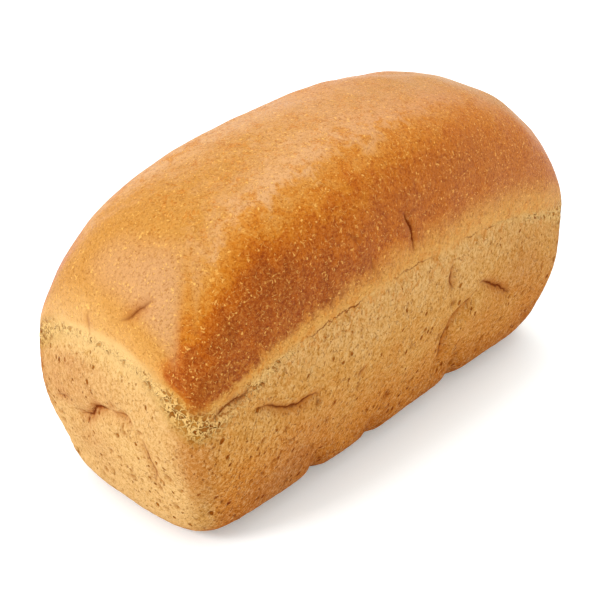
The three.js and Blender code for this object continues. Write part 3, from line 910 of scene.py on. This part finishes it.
def torn_web(tree, skin, colour):
    """The torn band: pale on the ends and gold at the corners, with a web of curled threads round
    small holes where it gapes, and painted shade in the holes."""
    off_line = add(tree, "Math", (skin.torn_place,), operation="ABSOLUTE")
    torn = add(tree, "MapRange", {"Value": off_line, "From Min": 1.7, "From Max": 0.6,
        "To Max": 0.7}, interpolation_type="SMOOTHSTEP")
    on_end = add(tree, "MapRange", {"Value": skin.faces_end, "From Min": 0.1, "From Max": 0.5})
    torn = add(tree, "Math", (torn, on_end), operation="MULTIPLY")
    gold = add(tree, "MapRange", {"Value": skin.at_corner, "From Min": 0.04, "From Max": 0.22})
    band = add(tree, "Mix", {"Factor": gold, "A": TORN_CREAM, "B": TORN_GOLD}, data_type="RGBA")
    colour = add(tree, "Mix", {"Factor": torn, "A": colour, "B": band}, data_type="RGBA")
    band_edge = add(tree, "MapRange", {"Value": gold, "To Min": 0.75, "To Max": 1.3})
    in_band = add(tree, "MapRange", {"Value": off_line, "From Min": band_edge, "From Max": 0.3})
    in_band = add(tree, "Math", (in_band, skin.webbed), operation="MULTIPLY")
    web = add(tree, "VectorMath", (skin.stray, (WEB_CURL,) * 3, skin.mm), operation="MULTIPLY_ADD")
    web = add(tree, "VectorMath", {0: web, "Scale": 1 / WEB_CELL}, operation="SCALE")
    web_edges = add(tree, "TexVoronoi", {"Vector": web, "Scale": 1.0}, feature="DISTANCE_TO_EDGE")
    web_cells = add(tree, "TexVoronoi", {"Vector": web, "Scale": 1.0})
    draw = add(tree, "SeparateColor", {"Color": web_cells.outputs["Color"]})
    strength = add(tree, "MapRange", {"Value": gold, "To Min": 0.6, "To Max": 0.95})
    threads = add(tree, "MapRange", {"Value": web_edges, "From Min": 0.16, "From Max": 0.05})
    threads = add(tree, "Math", (threads, in_band), operation="MULTIPLY")
    thread_tint = add(tree, "Math", (threads, 0.7), operation="MULTIPLY")
    thread_tint = add(tree, "Math", (thread_tint, strength), operation="MULTIPLY")
    colour = add(tree, "Mix", {"Factor": thread_tint, "A": colour, "B": THREAD_CREAM},
        data_type="RGBA")
    rim = add(tree, "MapRange", {"Value": gold, "To Min": 0.17, "To Max": 0.09})
    hole_edge = add(tree, "Math", (rim, 0.12), operation="ADD")
    holes = add(tree, "MapRange", {"Value": web_edges, "From Min": rim, "From Max": hole_edge})
    whole = add(tree, "MapRange", {"Value": gold, "To Min": 0.55, "To Max": 0.15})
    torn_through = add(tree, "MapRange", {"Value": draw.outputs["Red"], "From Min": whole,
        "From Max": 0.7})
    for share in (torn_through, in_band):
        holes = add(tree, "Math", (holes, share), operation="MULTIPLY")
    # painted shade in the holes
    hole_shade = add(tree, "Math", (holes, strength), operation="MULTIPLY")
    colour = add(tree, "Mix", {"Factor": hole_shade, "A": colour, "B": HOLE_SHADE}, data_type="RGBA",
        blend_type="MULTIPLY")
    return colour, threads, holes


def cracked_skin(tree, skin, colour):
    """Painted shade in the gaps of the shred line's own hairline, where it isn't a web, and of the
    creases, with painted shade on the skin beside them."""
    ragged = add(tree, "MapRange", {"Value": skin.mottle, "From Min": 0.3, "From Max": 0.7,
        "To Min": -1.2, "To Max": 1.2})
    line = add(tree, "Math", (skin.above_shred_line, ragged), operation="ADD")
    line = add(tree, "Math", (line,), operation="ABSOLUTE")
    line = add(tree, "MapRange", {"Value": line, "From Min": 0.4, "From Max": 0.1})
    gaping = add(tree, "MapRange", {"Value": skin.blotches, "From Min": 0.44, "From Max": 0.56,
        "To Min": 0.05, "To Max": 0.85})
    hairline = add(tree, "Math", (1.0, skin.webbed), operation="SUBTRACT")
    gaping = add(tree, "Math", (gaping, hairline), operation="MULTIPLY")
    line = add(tree, "Math", (line, gaping), operation="MULTIPLY")
    shade = add(tree, "MapRange", {"Value": skin.mottle, "From Min": 0.3, "From Max": 0.7,
        "To Min": 0.4, "To Max": 1.0})
    shade = add(tree, "Math", (skin.crease_shade, shade), operation="MULTIPLY")
    # painted shade on the skin beside a crease
    colour = add(tree, "Mix", {"Factor": shade, "A": colour, "B": CREASE_SHADE_TAN}, data_type="RGBA")
    gap = add(tree, "MapRange", {"Value": skin.grain, "From Min": 0.4, "From Max": 0.6,
        "To Min": 0.3, "To Max": 1.5})
    crease = add(tree, "Math", (skin.crack_side,), operation="ABSOLUTE")
    crease = add(tree, "MapRange", {"Value": crease, "From Min": gap, "From Max": 0.0,
        "To Max": 1.5})
    crease = add(tree, "Math", (crease, skin.crack_open), operation="MULTIPLY")
    gaps = add(tree, "Math", (line, crease), operation="MAXIMUM")
    # painted shade in the gaps
    colour = add(tree, "Mix", {"Factor": gaps, "A": colour, "B": GAP_SHADE}, data_type="RGBA",
        blend_type="MULTIPLY")
    return colour, gaps


def crust_material(field_names):
    """Baked wheat crust. Below the shred line the tin held it, so it is straw coloured, matt and
    pitted like the crumb pressed against the tin. Above it the open oven browned it, so it is
    smooth, satin and orange to brown, with pale flecks where gas blistered the skin."""
    material = bpy.data.materials.new("baked_wheat_crust")
    tree = empty_tree(material)
    skin = skin_patterns(tree, field_names)
    colour = add(tree, "Mix", {"Factor": skin.open_crust, "A": wall_colour(tree, skin),
        "B": crown_colour(tree, skin)}, data_type="RGBA")
    colour = drawn_skin(tree, skin, colour)
    colour = grained_skin(tree, skin, colour)
    colour, flecks = flecked_crown(tree, skin, colour)
    colour, pored = pored_wall(tree, skin, colour)
    colour, threads, holes = torn_web(tree, skin, colour)
    colour, gaps = cracked_skin(tree, skin, colour)

    # relief too fine for the mesh: dips, raised threads and flecks, and the grain
    dips = add(tree, "Math", (pored, holes), operation="MAXIMUM")
    rise = add(tree, "Math", (flecks, 0.3), operation="MULTIPLY")
    rise = add(tree, "Math", (threads, 0.6, rise), operation="MULTIPLY_ADD")
    shallow_gaps = add(tree, "Math", (gaps, 0.4), operation="MULTIPLY")
    depths = add(tree, "Math", (dips, shallow_gaps), operation="MAXIMUM")
    relief = add(tree, "Math", (rise, depths), operation="SUBTRACT")
    relief = add(tree, "Bump", {"Height": relief, "Distance": PIT_HEIGHT * MM, "Strength": 1.0})
    coarse = add(tree, "MapRange", {"Value": skin.open_crust, "To Min": 0.6, "To Max": 0.35})
    relief = add(tree, "Bump", {"Height": skin.grain, "Distance": GRAIN_HEIGHT * MM,
        "Strength": coarse, "Normal": relief})
    matt = add(tree, "Math", (dips, gaps), operation="MAXIMUM")
    roughness = add(tree, "MapRange", {"Value": skin.open_crust, "To Min": HELD_ROUGHNESS,
        "To Max": OPEN_ROUGHNESS})
    roughness = add(tree, "Math", (roughness, matt), operation="MAXIMUM")
    shader = add(tree, "BsdfPrincipled", {"Base Color": colour, "Roughness": roughness,
        "IOR": CRUST_IOR, "Specular IOR Level": CRUST_SPECULAR, "Normal": relief})
    add(tree, "OutputMaterial", {"Surface": shader})
    return material


def table_material():
    """White acrylic sheet: cast flat and rubbed matt, so it shows no gloss. It glows with a faint
    cool painted light, which keeps the shadows on it pale."""
    material = bpy.data.materials.new("white_acrylic")
    tree = empty_tree(material)
    shader = add(tree, "BsdfPrincipled", {"Base Color": TABLE_WHITE, "Roughness": 0.9,
        "Specular IOR Level": 0.1, "Emission Strength": GLOW_STRENGTH,
        "Emission Color": GLOW_COLOUR})
    add(tree, "OutputMaterial", {"Surface": shader})
    return material


# ---- Pieces ----

# Half the table's length and width, in m: far past the edges of the view.
TABLE_HALF = 3.0


def new_object(name, data):
    """An object in the scene for a mesh, a lamp or a camera."""
    made = bpy.data.objects.new(name, data)
    bpy.context.scene.collection.objects.link(made)
    return made


def mesh_object(name, points, faces, material):
    mesh = bpy.data.meshes.new(name)
    mesh.from_pydata(points.tolist(), [], faces.tolist())
    mesh.materials.append(material)
    mesh.shade_smooth()
    return new_object(name, mesh)


def crust():
    place, quads = box_grid()
    at, above = smooth_loaf(place)
    normals = vertex_normals(at, quads)
    height, fields = skin_relief(at, normals, above)
    skin = at + normals * height[:, None]
    piece = mesh_object("crust", skin * MM, quads, crust_material(fields))
    for name, values in fields.items():
        attribute = piece.data.attributes.new(name, "FLOAT", "POINT")
        attribute.data.foreach_set("value", values.astype(np.float32))
    return piece


def table():
    corners = np.array([(-1, -1, 0), (1, -1, 0), (1, 1, 0), (-1, 1, 0)]) * TABLE_HALF
    return mesh_object("table", corners, np.array([[0, 1, 2, 3]]), table_material())


# ---- Light and camera ----

# The camera, in mm and degrees: how it faces, how far off it is, and where it aims.
CAMERA_AZIMUTH = math.radians(-46.77)
CAMERA_ELEVATION = math.radians(32.0)
CAMERA_DISTANCE = 515.5
CAMERA_LENS = 77.33
CAMERA_SENSOR = 36.0
AIM_HEIGHT = 37.8
AIM_RIGHT = -8.17
AIM_UP = 6.28


def camera():
    az, el = CAMERA_AZIMUTH, CAMERA_ELEVATION
    back = Vector((math.sin(az) * math.cos(el), -math.cos(az) * math.cos(el), math.sin(el)))
    right = Vector((math.cos(az), math.sin(az), 0))
    up = back.cross(right)
    aim = Vector((0, 0, AIM_HEIGHT)) + right * AIM_RIGHT + up * AIM_UP
    data = bpy.data.cameras.new("camera")
    data.lens = CAMERA_LENS
    data.sensor_width = CAMERA_SENSOR
    data.clip_start = 0.01
    holder = new_object("camera", data)
    holder.location = (aim + back * CAMERA_DISTANCE) * MM
    holder.rotation_euler = back.to_track_quat("Z", "Y").to_euler()
    bpy.context.scene.camera = holder


# name, direction from the loaf, distance in m, size in m, watts
SOFT_LIGHTS = (
    ("window", (-0.75, 0.16, 0.60), 1.6, 0.45, 11.7),
    ("overhead", (0.42, 0.22, 0.88), 1.6, 1.5, 9.0),
)
ROOM_LIGHT = 1.0


def light():
    world = bpy.data.worlds.new("studio")
    tree = empty_tree(world)
    room = add(tree, "Background", {"Color": (1, 1, 1, 1), "Strength": ROOM_LIGHT})
    add(tree, "OutputWorld", {"Surface": room})
    bpy.context.scene.world = world
    for name, towards, distance, size, watts in SOFT_LIGHTS:
        data = bpy.data.lights.new(name, "AREA")
        data.size = size
        data.energy = watts
        towards = Vector(towards).normalized()
        lamp = new_object(name, data)
        lamp.location = towards * distance
        lamp.rotation_euler = towards.to_track_quat("Z", "Y").to_euler()
    bpy.context.scene.view_settings.view_transform = "Standard"


camera()
light()
table()
loaf_crust = crust()
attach(loaf_crust, "root")
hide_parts("loaf")
